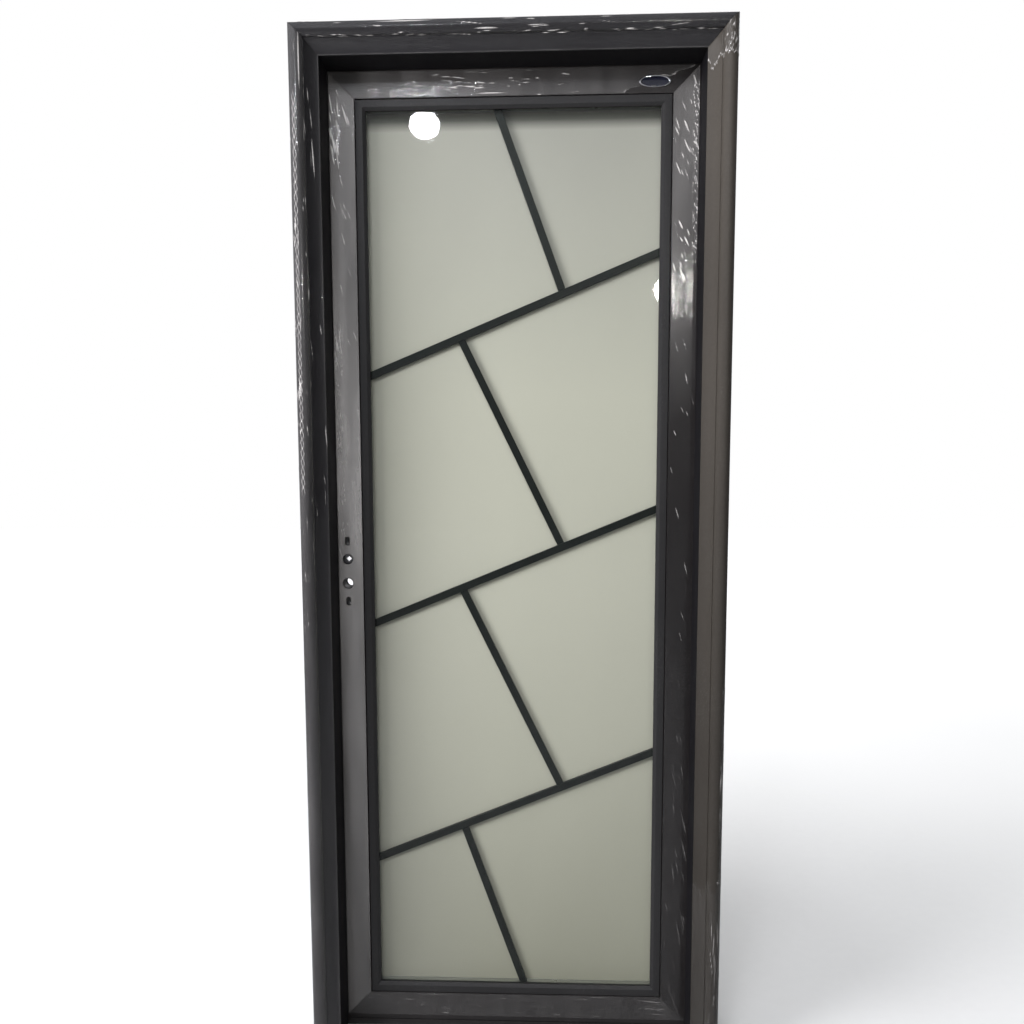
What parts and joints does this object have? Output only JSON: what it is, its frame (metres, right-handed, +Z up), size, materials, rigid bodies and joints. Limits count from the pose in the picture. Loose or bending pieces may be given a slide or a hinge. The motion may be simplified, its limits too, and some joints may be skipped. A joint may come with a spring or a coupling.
{
  "type": "glass entrance door with frame",
  "caption": "Aluminium swing door with its trimmed frame, a glazed leaf of clear and frosted panes with slanted bars between them, hinges and a mortise lock.",
  "frame": {"origin": "on the floor, at the middle of the overall width and of the overall depth", "axes": "+Z up; +X to the right and +Y away for a person facing the side with the wide trim and the glazing beads; the leaf hangs on the right and opens towards +Y"},
  "size_m": [0.832, 0.162, 2.04],
  "materials": {
    "frame_paint": "dark powder coat, satin",
    "leaf_paint": "dark powder coat, satin",
    "clear_glass": "polished",
    "frosted_glass": "frosted",
    "bar_paint": "black powder coat, satin",
    "rubber": "matt",
    "mill_aluminium": "mill",
    "plastic_black": "matt",
    "steel": "zinc plated",
    "hinge_steel": "satin",
    "badge_face": "gloss"
  },
  "bodies": {
    "frame": {"jamb_left": "frame_paint", "jamb_left_strike": "frame_paint", "jamb_right": "frame_paint", "head": "frame_paint", "frame_corner_keys": "mill_aluminium", "front_trim_left": "frame_paint", "front_trim_right": "frame_paint", "front_trim_head": "frame_paint", "back_trim_left": "frame_paint", "back_trim_right": "frame_paint", "back_trim_head": "frame_paint", "trim_corner_plates": "mill_aluminium", "stop_seal_left": "rubber", "stop_seal_right": "rubber", "stop_seal_head": "rubber", "strike_plate": "steel", "strike_box": "steel", "strike_magnet": "steel", "strike_screws": "steel", "hinge_frame_flag_top": "hinge_steel", "hinge_frame_flag_middle": "hinge_steel", "hinge_frame_flag_bottom": "hinge_steel", "hinge_pins": "steel", "hinge_frame_screws": "steel"},
    "leaf": {"stile_lock_side": "leaf_paint", "stile_hinge_side": "leaf_paint", "top_rail": "leaf_paint", "bottom_rail": "leaf_paint", "bead_left": "leaf_paint", "bead_right": "leaf_paint", "bead_top": "leaf_paint", "bead_bottom": "leaf_paint", "seal_carrier": "leaf_paint", "leaf_corner_keys": "mill_aluminium", "spacer_frame": "mill_aluminium", "front_gasket": "rubber", "back_gasket": "rubber", "bottom_seal": "rubber", "edge_sealant": "rubber", "setting_blocks": "plastic_black", "hinge_leaf_screws": "steel", "lock_case": "steel", "lock_front": "steel", "lock_front_screws": "steel", "hinge_leaf_flag_top": "hinge_steel", "hinge_leaf_flag_middle": "hinge_steel", "hinge_leaf_flag_bottom": "hinge_steel", "front_pane": "clear_glass", "frosted_pane": "frosted_glass", "long_bar_top": "bar_paint", "long_bar_middle": "bar_paint", "long_bar_bottom": "bar_paint", "short_bar_1": "bar_paint", "short_bar_2": "bar_paint", "short_bar_3": "bar_paint", "short_bar_4": "bar_paint", "badge": "badge_face"},
    "latch": {"latch_bolt": "steel"},
    "dead_bolt": {"dead_bolt": "steel"},
    "follower": {"follower": "steel"}
  },
  "joints": [
    {"name": "leaf_swing", "type": "hinge", "parent": "frame", "child": "leaf", "pos_m": [0.374, 0.065, 1.008], "axis": [0, 0, -1], "range_deg": [0, 110]},
    {"name": "latch_slide", "type": "slide", "parent": "leaf", "child": "latch", "axis": [-1, 0, 0], "range_m": [0, 0.0105], "stiffness_N_per_m": 60},
    {"name": "dead_bolt_slide", "type": "slide", "parent": "leaf", "child": "dead_bolt", "axis": [-1, 0, 0], "range_m": [0, 0.014]},
    {"name": "follower_turn", "type": "hinge", "parent": "leaf", "child": "follower", "pos_m": [-0.3425, 0.034, 1.026], "axis": [0, -1, 0], "range_deg": [-35, 0], "stiffness_Nm_per_rad": 0.6}
  ]
}
